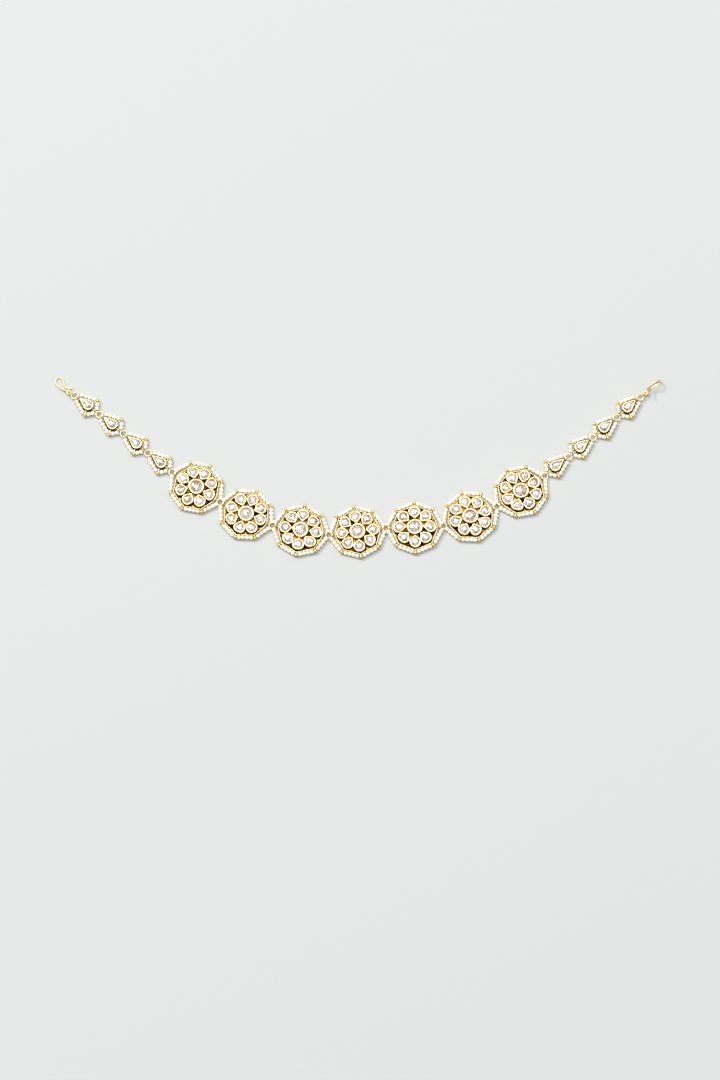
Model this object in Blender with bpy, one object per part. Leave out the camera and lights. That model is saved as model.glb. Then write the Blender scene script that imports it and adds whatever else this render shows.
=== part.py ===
"""Matha patti (head ornament) laid flat on a table.

Seven eight-petal medallions hang between two runs of four teardrops. Round jump
rings join them, a string of seed pearls runs round each, and a plain wire hook
closes each end. The middle medallion's flat back is centred on the origin; +X
runs to the right end, +Y away from the sag of the curve and +Z off the table.
"""

import math

import bmesh
import bpy
from mathutils import Matrix, Vector

MM = 0.001

# Clearances
GAP = 0.30 * MM  # between pieces that touch on the real jewel
SNUG = 0.20 * MM  # between wires that share a ring's hole

# Wire rings
WIRE = 0.30 * MM  # radius of the wire of rings and eyes
RING = 1.75 * MM  # mean radius of a jump ring
END_RING = 1.50 * MM  # mean radius of the upright ring at each hook
RING_SIDES = 10
WIRE_SIDES = 5
STEM = 0.26 * MM  # radius of the stem that carries an eye

# Seed pearls and their thread
PEARL = 1.03 * MM  # radius of a seed pearl, and of the tube for a string
THREAD = 0.15 * MM
THREAD_SPREAD = 0.85 * MM  # half the bare thread that passes under a chain stem
PEARL_LIFT = 0.25 * MM  # under the pearls
EYE_PEARL = 0.41 * MM  # last pearl of a medallion's string, short of the chain eye's wire
STALK = 0.28 * MM  # radius of the stalk under a ball
STALK_SIDES = 5

# Bezels, shared by medallions and drops
FLARE = 0.14 * MM  # foot of a bezel beyond its rim
RIM = 0.95 * MM  # edge of a stone inside its rim
TIP_LEAST = 0.15 * MM  # least radius at the tip of a stone
TABLE = 0.5  # table of a stone as a share of its outline
CROWN = 0.30 * MM  # height of a stone's table above its rim

# Medallion, worked inwards from its corner balls
PETALS = 8
CORNER = 14.0 * MM  # centre of a medallion to its corner balls
EYE_INSET = 0.35 * MM  # chain eyes, nearer than the corner balls
BACK_GAP = 0.35 * MM  # from the back to a plain side's pearls
BACK_THICKNESS = 1.0 * MM
BACK_SIDES = 16
PETAL_INSET = 0.25 * MM  # outer end of a petal's rim, inside the back's edge
PETAL_GAP = 0.10 * MM  # between the feet of two petals
PETAL_TIP = 0.7 * MM  # radius of the end at the centre
CENTRE_GAP = 0.40 * MM  # from a petal's rim to the centre bezel's
PETAL_HEIGHT = 3.4 * MM
PETAL_STEPS = (5, 1)  # straight sides round the wide end and the tip
CENTRE_RADIUS = 4.15 * MM
CENTRE_HEIGHT = 3.8 * MM
CENTRE_STONE = 2.85 * MM
CENTRE_SEAT = 1.1 * MM  # depth of the recess below the rim
CENTRE_TABLE = 1.55 * MM  # radius of the centre stone's table
CENTRE_CROWN = 0.40 * MM
CENTRE_SIDES = 12
SINK = 0.5 * MM  # how far a bezel's foot reaches into the back

# Drop, measured from its tip eye along its axis
DROP_SPAN = 13.5 * MM  # to the eye at the wide end
DROP_START = 1.5 * MM  # to the rim's tip
DROP_LENGTH = 8.8 * MM
DROP_WIDE = 2.90 * MM
DROP_TIP = 0.55 * MM
DROP_HEIGHT = 3.1 * MM
DROP_STEPS = (7, 1)
DROP_BALL = (9.5 * MM, 5.3 * MM)  # side ball, along and across
DROP_STRING_TIP = (0.9 * MM, 2.15 * MM)  # string's end beside the tip
DROP_STRING_WIDE = (11.95 * MM, 1.95 * MM)  # last pearl beside the wide end's eye

# Hook
HOOK_WIRE = 0.42 * MM
HOOK_LENGTH = 9.1 * MM
HOOK_WIDTH = 4.3 * MM
HOOK_LIFT = 0.03 * MM
HOOK_ROUTE = (
    # along and across the hook as shares of its length and width
    (0.00, 0.00),
    (0.13, -0.28),
    (0.30, -0.46),
    (0.56, -0.62),
    (0.82, -0.56),
    (0.98, -0.28),
    (0.99, 0.10),
    (0.87, 0.32),
    (0.61, 0.30),
    (0.37, 0.10),
    (0.22, 0.12),
    (0.09, 0.34),
    (-0.03, 0.60),
)

CHAIN = (
    # motif, its heading and that of the ring after it, in degrees from +X
    ("drop", -40, -40),
    ("drop", -40, -39),
    ("drop", -40, -38),
    ("drop", -40, -38),
    ("flower", -33, -35),
    ("flower", -25, -14),
    ("flower", -10, -7),
    ("flower", 8, 5),
    ("flower", 1, 21),
    ("flower", 20, 37),
    ("flower", 33, 47),
    ("drop", 40, 35),
    ("drop", 41, 33),
    ("drop", 43, 40),
    ("drop", 43, 40),
)
LEFT_END = (149, 126, 0)  # heading of the end rings, of the hook, and its turn
RIGHT_END = (39, 39, 48)

# Worked out from the sizes above
MERGE = 0.001 * MM
SHARP = math.radians(35)  # edges steeper than this stay crisp
EYE = WIRE + GAP + WIRE  # mean radius of an eye round a ring's wire
CHAIN_Z = EYE + WIRE + PEARL_LIFT
PEARL_Z = PEARL + PEARL_LIFT
HOOK_EYE = WIRE + GAP + HOOK_WIRE
HOOK_LOWEST = min(range(len(HOOK_ROUTE)), key=lambda row: HOOK_ROUTE[row][1])  # on the table
THREAD_Z = (CHAIN_Z - WIRE) / 2
FLOWER_EYE = CORNER - EYE_INSET  # centre of a medallion to its chain eyes
BACK_RADIUS = CORNER * math.cos(math.pi / PETALS) - PEARL - BACK_GAP
PETAL_REACH = BACK_RADIUS - PETAL_INSET  # outer end of a petal's rim
PETAL_SHARE = math.sin(math.pi / PETALS)
PETAL_WIDE = (PETAL_REACH * PETAL_SHARE - FLARE - PETAL_GAP / 2) / (1 + PETAL_SHARE)
PETAL_LENGTH = PETAL_REACH - CENTRE_RADIUS - CENTRE_GAP
MIDDLE = len(CHAIN) // 2  # row of the middle medallion


def clear_scene():
    for old in list(bpy.data.objects):
        bpy.data.objects.remove(old, do_unlink=True)


def make_material(name, colour, metallic, roughness):
    material = bpy.data.materials.new(name)
    material.use_nodes = True
    shader = material.node_tree.nodes["Principled BSDF"]
    shader.inputs["Base Color"].default_value = (*colour, 1)
    shader.inputs["Metallic"].default_value = metallic
    shader.inputs["Roughness"].default_value = roughness
    return material


def heading_matrix(place, degrees):
    """Frame at a place on the table, with +X along the heading."""
    return Matrix.Translation(place) @ Matrix.Rotation(math.radians(degrees), 4, "Z")


def add_object(name, data, matrix, material, collection):
    made = bpy.data.objects.new(name, data)
    made.matrix_world = matrix
    if not data.materials:
        data.materials.append(material)
    collection.objects.link(made)
    return made


# Solids


def pear_outline(wide, tip, spread, steps):
    """Round end about the origin and a tip towards -X, joined by straight sides."""
    lean = math.asin((wide - tip) / spread)
    outline = []
    for radius, middle, first, last, count in (
        (wide, 0.0, -math.pi / 2 - lean, math.pi / 2 + lean, steps[0]),
        (tip, -spread, math.pi / 2 + lean, 3 * math.pi / 2 - lean, steps[1]),
    ):
        for step in range(count + 1):
            angle = first + (last - first) * step / count
            outline.append((middle + radius * math.cos(angle), radius * math.sin(angle)))
    return outline


def round_outline(radius, sides):
    turn = 2 * math.pi / sides
    return [(radius * math.cos(i * turn), radius * math.sin(i * turn)) for i in range(sides)]


def shrunk(outline, share):
    """The outline drawn in about the middle of its length."""
    xs = [x for x, _ in outline]
    middle = (min(xs) + max(xs)) / 2
    return [(middle + (x - middle) * share, y * share) for x, y in outline]


def raised_solid(levels):
    """Closed solid through like outlines, each given with its height."""
    bm = bmesh.new()
    outline, height = levels[0]
    foot = bm.faces.new([bm.verts.new((x, y, height)) for x, y in outline])
    below = foot
    for outline, height in levels[1:]:
        made = bmesh.ops.extrude_face_region(bm, geom=[below])
        top = next(part for part in made["geom"] if isinstance(part, bmesh.types.BMFace))
        for vert, (x, y) in zip(top.verts, outline):
            vert.co = (x, y, height)
        if below is not foot:
            bmesh.ops.delete(bm, geom=[below], context="FACES_ONLY")
        below = top
    bmesh.ops.recalc_face_normals(bm, faces=bm.faces)
    return bm


def set_stone(wide, tip, length, steps, foot, height):
    """Closed bezel with its stone; the wide end's centre is on the origin."""
    spread = length - wide - tip

    def pear(grow):
        return pear_outline(wide + grow, max(tip + grow, TIP_LEAST), spread, steps)

    stone = pear(-RIM)
    return raised_solid(
        (
            (pear(FLARE), foot),
            (pear(0), height),
            (stone, height),
            (shrunk(stone, TABLE), height + CROWN),
        )
    )


def rod(start, end, radius):
    """Straight round rod from one point to another."""
    bm = bmesh.new()
    way = Vector(end) - Vector(start)
    turn = way.to_track_quat("Z", "Y").to_matrix().to_4x4()
    turn @= Matrix.Rotation(math.pi / (2 * STALK_SIDES), 4, "Z")
    bmesh.ops.create_cone(
        bm,
        cap_ends=True,
        segments=STALK_SIDES,
        radius1=radius,
        radius2=radius,
        depth=way.length,
        matrix=Matrix.Translation((Vector(start) + Vector(end)) / 2) @ turn,
    )
    return bm


def ring_mesh(name, mean_radius, wire_radius):
    """Closed ring of round wire, flat about the origin."""
    bpy.ops.mesh.primitive_torus_add(
        major_segments=RING_SIDES,
        minor_segments=WIRE_SIDES,
        major_radius=mean_radius,
        minor_radius=wire_radius,
    )
    made = bpy.context.object
    mesh = made.data
    mesh.name = name
    bpy.data.objects.remove(made)
    return mesh


def upright_eye(place):
    """Eye standing in the plane of the chain's axis, as a bmesh."""
    bm = bmesh.new()
    mesh = ring_mesh("eye", EYE, WIRE)
    bm.from_mesh(mesh)
    bpy.data.meshes.remove(mesh)
    half_side = Matrix.Rotation(math.pi / RING_SIDES, 4, "Z")
    upright = Matrix.Rotation(math.pi / 2, 4, "X")
    bm.transform(Matrix.Translation(place) @ upright @ half_side)
    return bm


def fused(name, base, others):
    """One closed mesh from closed bmeshes that reach into each other."""
    solids = []
    for label, parts in (("base", [base]), ("others", others)):
        mesh = bpy.data.meshes.new(label)
        joined = bmesh.new()
        for part in parts:
            part.to_mesh(mesh)
            part.free()
            joined.from_mesh(mesh)
        joined.to_mesh(mesh)
        joined.free()
        solid = bpy.data.objects.new(label, mesh)
        bpy.context.scene.collection.objects.link(solid)
        solids.append(solid)
    union = solids[0].modifiers.new("union", "BOOLEAN")
    union.operation = "UNION"
    union.solver = "EXACT"
    union.use_self = True
    union.object = solids[1]
    seen = solids[0].evaluated_get(bpy.context.evaluated_depsgraph_get())
    result = bpy.data.meshes.new_from_object(seen)
    result.name = name
    for solid in solids:
        mesh = solid.data
        bpy.data.objects.remove(solid)
        bpy.data.meshes.remove(mesh)
    return result


def shaded(mesh):
    mesh.shade_smooth()
    mesh.set_sharp_from_angle(angle=SHARP)
    return mesh


# Medallion


def petal(angle):
    """One petal's bezel and stone, its tip towards the medallion's centre."""
    foot = BACK_THICKNESS - SINK
    bm = set_stone(PETAL_WIDE, PETAL_TIP, PETAL_LENGTH, PETAL_STEPS, foot, PETAL_HEIGHT)
    bm.transform(
        Matrix.Rotation(angle, 4, "Z") @ Matrix.Translation((PETAL_REACH - PETAL_WIDE, 0, 0))
    )
    return bm


def centre_bezel():
    recess = CENTRE_STONE + GAP
    return raised_solid(
        (
            (round_outline(CENTRE_RADIUS + FLARE, CENTRE_SIDES), BACK_THICKNESS - SINK),
            (round_outline(CENTRE_RADIUS, CENTRE_SIDES), CENTRE_HEIGHT),
            (round_outline(recess, CENTRE_SIDES), CENTRE_HEIGHT),
            (round_outline(recess, CENTRE_SIDES), CENTRE_HEIGHT - CENTRE_SEAT),
        )
    )


def centre_stone():
    """Round stone with a flat base, a straight girdle and a faceted crown."""
    girdle = round_outline(CENTRE_STONE, CENTRE_SIDES)
    bm = raised_solid(
        (
            (girdle, CENTRE_HEIGHT - CENTRE_SEAT + GAP),
            (girdle, CENTRE_HEIGHT),
            (round_outline(CENTRE_TABLE, CENTRE_SIDES), CENTRE_HEIGHT + CENTRE_CROWN),
        )
    )
    mesh = bpy.data.meshes.new("centre_stone")
    bm.to_mesh(mesh)
    bm.free()
    return mesh


def flower_setting():
    parts = [centre_bezel()]
    wall = PETAL_REACH - RIM
    for index in range(PETALS):
        angle = index * 2 * math.pi / PETALS
        outward = Vector((math.cos(angle), math.sin(angle), 0))
        parts.append(petal(angle))
        if index % (PETALS // 2):
            height = Vector((0, 0, PEARL_Z))
            end = CORNER - PEARL - GAP
            parts.append(rod(outward * wall + height, outward * end + height, STALK))
        else:
            height = Vector((0, 0, CHAIN_Z))
            parts.append(
                rod(outward * wall + height, outward * (FLOWER_EYE - EYE) + height, STEM)
            )
            eye = upright_eye((0, 0, 0))
            eye.transform(
                Matrix.Translation(outward * FLOWER_EYE + height)
                @ Matrix.Rotation(angle, 4, "Z")
            )
            parts.append(eye)
    rim = round_outline(BACK_RADIUS, BACK_SIDES)
    back = raised_solid(((rim, 0), (rim, BACK_THICKNESS)))
    return shaded(fused("flower_setting", back, parts))


# Drop


def drop_setting():
    body = set_stone(DROP_WIDE, DROP_TIP, DROP_LENGTH, DROP_STEPS, 0, DROP_HEIGHT)
    middle = DROP_START + DROP_LENGTH - DROP_WIDE
    body.transform(Matrix.Translation((middle, 0, 0)))
    inside = DROP_START + 2 * RIM
    end = DROP_START + DROP_LENGTH - RIM
    parts = [
        upright_eye((0, 0, CHAIN_Z)),
        upright_eye((DROP_SPAN, 0, CHAIN_Z)),
        rod((EYE, 0, CHAIN_Z), (inside, 0, CHAIN_Z), STEM),
        rod((end, 0, CHAIN_Z), (DROP_SPAN - EYE, 0, CHAIN_Z), STEM),
    ]
    for side in (1, -1):
        ball = Vector((DROP_BALL[0], side * DROP_BALL[1], PEARL_Z))
        root = Vector((middle, 0, PEARL_Z))
        way = (ball - root).normalized()
        parts.append(rod(root + way * (DROP_WIDE - RIM), ball - way * (PEARL + GAP), STALK))
    return shaded(fused("drop_setting", body, parts))


# Strings of seed pearls


def string_curve(name, route, closed):
    """String of beads as one tube; each row of the route has a point and a radius."""
    curve = bpy.data.curves.new(name, "CURVE")
    curve.dimensions = "3D"
    curve.twist_mode = "Z_UP"
    curve.bevel_depth = PEARL
    curve.bevel_resolution = 2
    curve.use_fill_caps = True
    spline = curve.splines.new("POLY")
    spline.points.add(len(route) - 1)
    for point, (x, y, z, radius) in zip(spline.points, route):
        point.co = (x, y, z, 1)
        point.radius = radius / PEARL
    spline.use_cyclic_u = closed
    return curve


def flower_string():
    """Round the medallion, and as bare thread under both chain stems."""
    thread = (PETAL_REACH + FLARE + FLOWER_EYE - EYE - WIRE) / 2
    along, across = FLOWER_EYE - EYE - EYE_PEARL, 2 * PEARL
    half = [(thread, THREAD_SPREAD, THREAD_Z, THREAD), (along, across, PEARL_Z, PEARL)]
    for index in range(1, PETALS // 2):
        angle = index * 2 * math.pi / PETALS
        half.append((CORNER * math.cos(angle), CORNER * math.sin(angle), PEARL_Z, PEARL))
    half += [(-along, across, PEARL_Z, PEARL), (-thread, THREAD_SPREAD, THREAD_Z, THREAD)]
    other = [(-x, -y, z, radius) for x, y, z, radius in half]
    return string_curve("flower_pearls", half + other, True)


def drop_string():
    """From one side of the tip round the wide end to the other side of the tip."""
    thread = (DROP_START + DROP_LENGTH + FLARE + DROP_SPAN - EYE - WIRE) / 2
    half = [
        (*DROP_STRING_TIP, PEARL_Z, PEARL),
        (*DROP_BALL, PEARL_Z, PEARL),
        (*DROP_STRING_WIDE, PEARL_Z, PEARL),
        (thread, THREAD_SPREAD, THREAD_Z, THREAD),
    ]
    other = [(x, -y, z, radius) for x, y, z, radius in reversed(half)]
    return string_curve("drop_pearls", half + other, False)


# Hooks


def hook_mesh(name, turn):
    """Bent wire hook with a closed eye about the origin; +X leads away from the chain."""
    tilt = math.radians(turn)
    rest = HOOK_WIRE + HOOK_LIFT
    lowest = HOOK_ROUTE[HOOK_LOWEST][1]
    curve = bpy.data.curves.new(name, "CURVE")
    curve.dimensions = "3D"
    curve.bevel_depth = HOOK_WIRE
    curve.bevel_resolution = 1
    curve.resolution_u = 2
    curve.use_fill_caps = True
    spline = curve.splines.new("BEZIER")
    spline.bezier_points.add(len(HOOK_ROUTE) - 1)
    for index, (point, (along, across)) in enumerate(zip(spline.bezier_points, HOOK_ROUTE)):
        rise = (across - lowest) * HOOK_WIDTH * math.sin(tilt)
        height = rest + rise
        if index < HOOK_LOWEST:
            height = CHAIN_Z + (rest - CHAIN_Z) * index / HOOK_LOWEST
        point.co = (
            HOOK_EYE + along * HOOK_LENGTH,
            -across * HOOK_WIDTH * math.cos(tilt),
            height,
        )
        point.handle_left_type = "AUTO"
        point.handle_right_type = "AUTO"
    bent = bpy.data.objects.new(name, curve)
    bpy.context.scene.collection.objects.link(bent)
    seen = bent.evaluated_get(bpy.context.evaluated_depsgraph_get())
    mesh = bpy.data.meshes.new_from_object(seen)
    wire = bmesh.new()
    wire.from_mesh(mesh)
    bmesh.ops.remove_doubles(wire, verts=wire.verts, dist=MERGE)
    bpy.data.objects.remove(bent)
    bpy.data.curves.remove(curve)
    bpy.data.meshes.remove(mesh)
    eye = bmesh.new()
    mesh = ring_mesh("hook_eye", HOOK_EYE, HOOK_WIRE)
    eye.from_mesh(mesh)
    bpy.data.meshes.remove(mesh)
    eye.transform(Matrix.Translation((0, 0, CHAIN_Z)))
    return shaded(fused(name, wire, [eye]))


# Layout


def unit(degrees):
    return Vector((math.cos(math.radians(degrees)), math.sin(math.radians(degrees)), 0))


def lay_chain():
    """Left and right eye of each motif, with the middle medallion on the origin."""
    spans = {"drop": DROP_SPAN, "flower": 2 * FLOWER_EYE}
    eyes = []
    cursor = Vector((0, 0, 0))
    for kind, heading, ring_heading in CHAIN:
        right = cursor + spans[kind] * unit(heading)
        eyes.append((cursor, right))
        cursor = right + 2 * RING * unit(ring_heading)
    centre = (eyes[MIDDLE][0] + eyes[MIDDLE][1]) / 2
    return [(left - centre, right - centre) for left, right in eyes]


def end_frames(eye, end):
    """Frames of the flat ring, the upright ring and the hook beyond an end eye."""
    ring_heading, hook_heading, _ = end
    out = unit(ring_heading)
    upright_z = END_RING + WIRE + HOOK_LIFT
    drop = upright_z - CHAIN_Z
    hole = END_RING - WIRE - SNUG
    flat = eye + RING * out
    upright = flat + (RING + math.sqrt((hole - WIRE) ** 2 - drop**2)) * out
    hook = upright + (math.sqrt((hole - HOOK_WIRE) ** 2 - drop**2) + HOOK_EYE) * out
    on_edge = Matrix.Rotation(math.pi / 2, 4, "X")
    return (
        heading_matrix(flat + Vector((0, 0, CHAIN_Z)), ring_heading),
        heading_matrix(upright + Vector((0, 0, upright_z)), ring_heading) @ on_edge,
        heading_matrix(hook, hook_heading),
    )


def build():
    clear_scene()
    jewel = bpy.data.collections.new("matha_patti")
    bpy.context.scene.collection.children.link(jewel)
    gold = make_material("gold_plated_brass", (0.80, 0.55, 0.21), 1.0, 0.22)
    glass = make_material("foil_backed_stone", (0.86, 0.88, 0.90), 0.0, 0.05)
    nacre = make_material("seed_pearl", (0.92, 0.88, 0.80), 0.0, 0.25)

    setting = flower_setting()
    stone = centre_stone()
    flower_pearls = flower_string()
    drop = drop_setting()
    drop_pearls = drop_string()
    flat_ring = shaded(ring_mesh("flat_ring", RING, WIRE))
    upright_ring = shaded(ring_mesh("upright_ring", END_RING, WIRE))

    eyes = lay_chain()
    flowers = 0
    drops = 0
    chain_rings = []
    for (left, right), (kind, heading, ring_heading) in zip(eyes, CHAIN):
        if kind == "flower":
            flowers += 1
            frame = heading_matrix((left + right) / 2, heading)
            name = f"flower_{flowers}"
            add_object(f"{name}_setting", setting, frame, gold, jewel)
            add_object(f"{name}_stone", stone, frame, glass, jewel)
            add_object(f"{name}_pearls", flower_pearls, frame, nacre, jewel)
        else:
            drops += 1
            frame = heading_matrix(left, heading)
            if flowers:
                frame = heading_matrix(right, heading + 180)
            name = f"drop_{drops}"
            add_object(f"{name}_setting", drop, frame, gold, jewel)
            add_object(f"{name}_pearls", drop_pearls, frame, nacre, jewel)
        place = right + RING * unit(ring_heading) + Vector((0, 0, CHAIN_Z))
        chain_rings.append((flat_ring, heading_matrix(place, ring_heading)))

    end_rings = []
    for side, eye, end in (("left", eyes[0][0], LEFT_END), ("right", eyes[-1][1], RIGHT_END)):
        flat_frame, upright_frame, hook_frame = end_frames(eye, end)
        end_rings.append([(flat_ring, flat_frame), (upright_ring, upright_frame)])
        name = f"hook_{side}"
        add_object(name, hook_mesh(name, end[2]), hook_frame, gold, jewel)
    rings = end_rings[0] + chain_rings[:-1] + end_rings[1]
    for number, (mesh, frame) in enumerate(rings, start=1):
        add_object(f"ring_{number:02d}", mesh, frame, gold, jewel)


build()
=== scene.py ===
"""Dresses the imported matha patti: a head ornament of linked petal medallions and drops, laid flat.

Every piece stands where its CAD node stands. A medallion or drop is modelled in a frame of
its own, with its origin on the table halfway between its two chain eyes and +X along the
chain: to the right on a medallion, towards the wide end on a drop.
"""

import math
import random

import bmesh
import bpy
from bpy.props import FloatProperty, FloatVectorProperty, IntProperty, PointerProperty
from mathutils import Matrix, Vector


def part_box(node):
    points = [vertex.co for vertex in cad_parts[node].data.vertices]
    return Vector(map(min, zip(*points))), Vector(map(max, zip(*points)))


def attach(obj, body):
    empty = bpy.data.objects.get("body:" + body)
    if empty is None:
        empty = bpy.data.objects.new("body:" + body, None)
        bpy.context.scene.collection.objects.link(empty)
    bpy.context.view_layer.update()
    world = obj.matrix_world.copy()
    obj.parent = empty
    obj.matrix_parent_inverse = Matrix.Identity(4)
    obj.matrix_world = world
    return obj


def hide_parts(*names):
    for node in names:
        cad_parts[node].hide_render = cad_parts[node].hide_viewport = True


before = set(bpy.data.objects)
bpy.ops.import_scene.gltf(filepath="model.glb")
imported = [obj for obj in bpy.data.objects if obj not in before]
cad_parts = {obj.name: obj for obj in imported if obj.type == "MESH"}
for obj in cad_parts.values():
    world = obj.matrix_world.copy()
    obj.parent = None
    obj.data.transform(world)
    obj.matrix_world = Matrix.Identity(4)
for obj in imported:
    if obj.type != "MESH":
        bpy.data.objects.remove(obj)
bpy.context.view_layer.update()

bl_info = {
    "name": "Matha Patti",
    "version": (1, 0, 0),
    "blender": (4, 5, 0),
    "location": "View3D > Sidebar > Matha Patti",
    "description": "Makes the pieces of a matha patti head ornament, and its stage",
    "category": "Object",
}

MM = 0.001
TAU = 2 * math.pi
FLOWERS = 7
DROPS = 8
DROPS_BEFORE_FLOWERS = 4
RINGS = 18
MERGE = 0.001 * MM
SHARP = math.radians(38)
UPRIGHT = Matrix.Rotation(math.pi / 2, 4, "X")

# Section of a bezel's bead from the top of the outer wall to the ledge under the stone.
# Inward and up are shares of the bead's width, and the third value is how much painted shade the
# gold carries there.
BEAD_SECTION = (
    *((0.00, -0.50, 0.15), (0.02, -0.28, 0.00), (0.08, -0.11, 0.00), (0.20, -0.02, 0.00)),
    *((0.42, 0.02, 0.00), (0.64, 0.00, 0.00), (0.80, -0.07, 0.00), (0.92, -0.18, 0.15)),
    *((1.00, -0.34, 0.60), (1.12, -0.62, 0.90), (1.60, -0.85, 0.90)),
)
STONE_INSET = 1.10  # edge of a stone inside its rim, in beads
STONE_GIRDLE = 0.48  # edge of a stone below the top of its rim, in beads

# Route of a hook's wire, along and across it as shares of its length and width.
HOOK_ROUTE = (
    *((0.00, 0.00), (0.13, -0.28), (0.30, -0.46), (0.56, -0.62), (0.82, -0.56)),
    *((0.98, -0.28), (0.99, 0.10), (0.87, 0.32), (0.61, 0.30), (0.37, 0.10)),
    *((0.22, 0.12), (0.09, 0.34), (-0.03, 0.60)),
)
HOOK_LOWEST = 3  # row of the route that lies on the table
HOOKS = (
    # side, its flat and upright end rings, its heading and its turn on the table in degrees
    ("left", "ring_01", "ring_02", 126, 0),
    ("right", "ring_17", "ring_18", 39, 46.5),
)

OPEN_TIP = 0.15 * MM  # smallest radius of a tip
PETAL_POINTS, ROUND_POINTS, PLATE_POINTS = 48, 64, 96  # in outlines
EYE_SHARE = 0.35  # of a plate's full corner that it has at a chain eye
STONE_CUTS = {"petal": (16, 8), "centre": (24, 12), "drop": (20, 10)}  # girdle points, facets
CUT_WAVER = 0.08  # how far the corners of a crown stray, as a share of its width
CUT_DIP, CUT_RISE = -0.12, 0.06  # and as shares of its rise
SOFT_EDGE = 0.12 * MM  # height of the softened edge of enamel and base plates
BAND_DEPTH = 0.3 * MM  # how deep an enamel band sinks where it ends
BAND_FADE = 0.8 * MM  # length over which it sinks
ENAMEL_OVERLAP = 0.05 * MM  # enamel sunk into a base plate
ENAMEL_SETBACK = 0.17 * MM  # enamel short of a base plate's edge
PEARL_SIDES, BALL_SIDES = 16, 20
PEARL_FULLNESS = 2.6  # 2 is a ball, more is nearer to a drum
PEARL_SLIM, PEARL_LONG = 0.96, 1.02  # limits of a pearl's shape
PEARL_SQUEEZE = 1.2  # radii by which a row may be too short before a pearl is left out
BRUSHED = {"To_Min": 0.12, "To_Max": 0.26}  # roughness of the plating

LAMPS = (
    # name, place and width in metres, power in watts
    ("key", (-4.3, 3.5, 5.3), 2.4, 328),
    ("top", (-0.15, 1.25, 3.5), 2.8, 67),
)
FLOOR_HALF = 3.0
CAMERA_TILT = math.radians(18)
CAMERA_LENS, CAMERA_SENSOR = 800, 36
VIEW_HEIGHT = 577.8 * MM
VIEW_AIM = (1.34 * MM, -4.05 * MM, 0)


def linear(code):
    """Linear RGB of an sRGB hex colour."""
    channels = [int(code[i : i + 2], 16) / 255 for i in (1, 3, 5)]
    return tuple(c / 12.92 if c <= 0.04045 else ((c + 0.055) / 1.055) ** 2.4 for c in channels)


def size(name, description, length):
    """A length property with its default in millimetres."""
    return FloatProperty(
        name=name, description=description, default=length * MM, unit="LENGTH", precision=5
    )


def tint(name, description, code):
    """A colour property with its default as an sRGB hex value."""
    return FloatVectorProperty(
        name=name, description=description, default=linear(code), subtype="COLOR", min=0, max=1
    )


class MedallionSizes(bpy.types.PropertyGroup):
    """Sizes of a medallion"""

    petals: IntProperty(name="Petals", description="Petals round the centre", default=8, min=4)
    petal_reach: size("Petal reach", "From the centre to the outer end of a petal's rim", 11.6)
    petal_length: size("Petal length", "Length of a petal's rim", 6.9)
    petal_wide: size("Petal wide end", "Radius of a petal's outer end", 3.1)
    petal_tip: size("Petal tip", "Radius of a petal's inner end", 0.7)
    petal_height: size("Petal height", "Top of a petal's rim above the table", 3.4)
    centre_radius: size("Centre radius", "Radius of the centre bezel's rim", 4.35)
    centre_height: size("Centre height", "Top of the centre bezel's rim", 3.8)
    centre_bead: size("Centre bead", "Width of the bright bead round the centre stone", 1.3)
    centre_crown: size("Centre crown", "Height of the centre stone above its rim", 0.4)
    back_radius: size("Back radius", "Radius of the back plate", 11.75)
    back_thickness: size("Back thickness", "Thickness of the back plate", 1.0)
    lip: size("Lip", "Width of the raised lip along the plate's edge", 0.45)
    lip_height: size("Lip height", "Height of the lip above the plate", 0.6)
    corner: size("Corner radius", "From the centre to the corner balls", 14.0)
    eye_reach: size("Eye reach", "From the centre to the chain eyes", 13.65)


class DropSizes(bpy.types.PropertyGroup):
    """Sizes of a drop, along it from its tip eye and across it from its axis"""

    span: size("Span", "From one chain eye to the other", 13.5)
    start: size("Start", "To the tip of the rim", 1.5)
    length: size("Length", "Length of the rim", 8.8)
    wide: size("Wide end", "Radius of the wide end", 2.9)
    tip: size("Tip", "Radius of the tip", 0.55)
    height: size("Height", "Top of the rim above the table", 3.1)
    flare: size("Flare", "Foot of the wall beyond its rim", 0.1)
    base: size("Base", "Top of the base plate above the table", 0.7)
    base_reach: size("Base reach", "Edge of the base plate beyond the rim", 0.5)
    ball_along: size("Ball along", "Side ball, along the drop", 9.5)
    ball_across: size("Ball across", "Side ball, across the drop", 5.3)
    string_tip_along: size("String start along", "End of the string beside the tip", 0.9)
    string_tip_across: size("String start across", "End of the string beside the tip", 2.15)
    string_wide_along: size("String turn along", "Last pearl beside the wide end", 11.95)
    string_wide_across: size("String turn across", "Last pearl beside the wide end", 1.95)


class BezelSizes(bpy.types.PropertyGroup):
    """Sizes shared by all bezels and their stones"""

    bead: size("Bead", "Width of the bright bead round a stone", 0.84)
    flare: size("Flare", "Foot of a bezel beyond its rim", 0.32)
    sink: size("Sink", "How far a bezel's foot reaches into the back plate", 0.5)
    enamel: size("Enamel", "Thickness of the enamel on a bezel's wall", 0.14)
    enamel_foot: size("Enamel foot", "Enamel on the plate round a bezel", 0.12)
    enamel_drop: size("Enamel edge", "Top of the enamel below the rim's top", 0.9)
    crown: size("Crown", "Height of a stone's table above its rim", 0.3)
    # The collar is a dark piece that stands for painted shade at a stalk's root
    collar: size("Collar", "Radius of the enamel at a stalk's root", 0.55)
    collar_reach: size("Collar reach", "How far it runs out from the rim", 0.75)


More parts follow.
